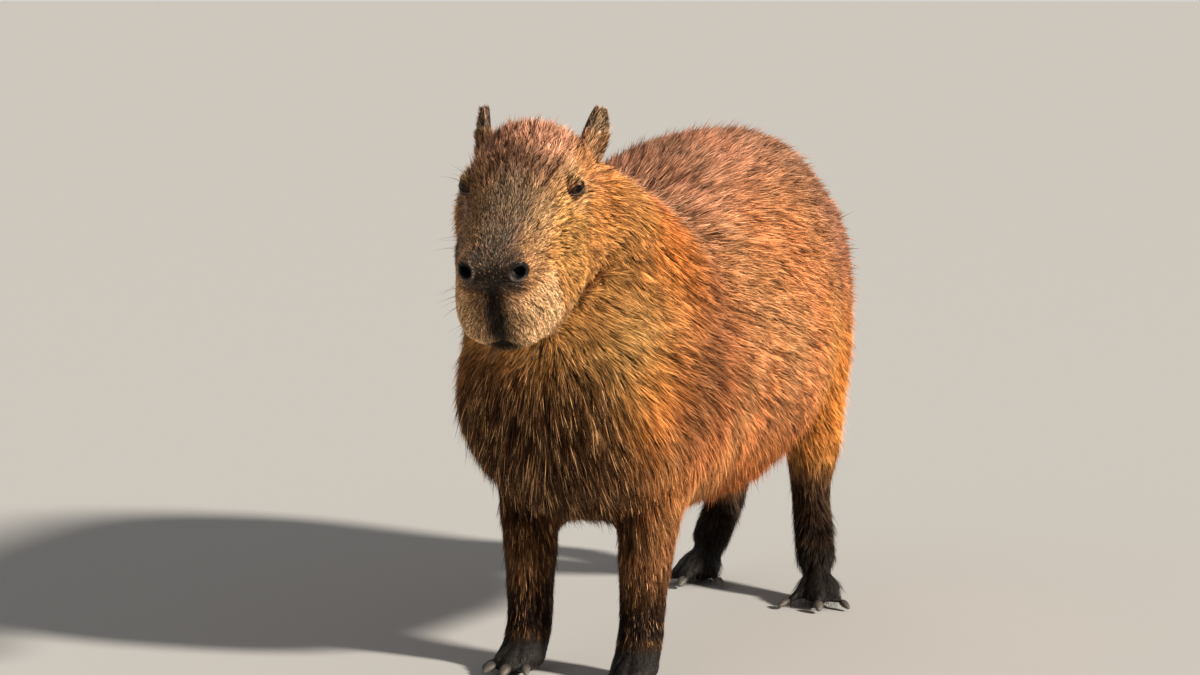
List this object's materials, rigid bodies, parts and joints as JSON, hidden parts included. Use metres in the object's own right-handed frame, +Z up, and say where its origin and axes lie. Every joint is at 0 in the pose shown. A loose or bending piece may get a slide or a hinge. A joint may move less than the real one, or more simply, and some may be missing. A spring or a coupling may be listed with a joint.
{
  "type": "capybara",
  "caption": "Life-size still model of a standing adult capybara, its head lowered and turned a little to its left.",
  "frame": {"origin": "on the floor, under the middle of the model's box", "axes": "+Z up, -Y the way that the body faces, +X the animal's left side"},
  "size_m": [0.3242, 1.0728, 0.6498],
  "materials": {
    "coat": "coarse reddish-brown hair with golden tips over darker brown",
    "bare_skin": "dark greyish-brown skin with thin short hair",
    "eye": "wet glossy dark brown",
    "claw": "dull grey-brown horn"
  },
  "bodies": {
    "root": {"claw_fore_left_1": "claw", "claw_fore_left_2": "claw", "claw_fore_left_3": "claw", "claw_fore_left_4": "claw", "claw_fore_right_1": "claw", "claw_fore_right_2": "claw", "claw_fore_right_3": "claw", "claw_fore_right_4": "claw", "claw_hind_left_1": "claw", "claw_hind_left_2": "claw", "claw_hind_left_3": "claw", "claw_hind_right_1": "claw", "claw_hind_right_2": "claw", "claw_hind_right_3": "claw", "ear_left": "bare_skin", "ear_right": "bare_skin", "eye_left": "eye", "eye_right": "eye", "forefoot_left": "bare_skin", "forefoot_right": "bare_skin", "foreleg_left_lower": "coat", "foreleg_left_upper": "coat", "foreleg_right_lower": "coat", "foreleg_right_upper": "coat", "head": "coat", "hindfoot_left": "bare_skin", "hindfoot_right": "bare_skin", "lower_jaw": "coat", "neck": "coat", "shank_left": "coat", "shank_right": "coat", "thigh_left": "coat", "thigh_right": "coat", "trunk": "coat"}
  },
  "joints": []
}
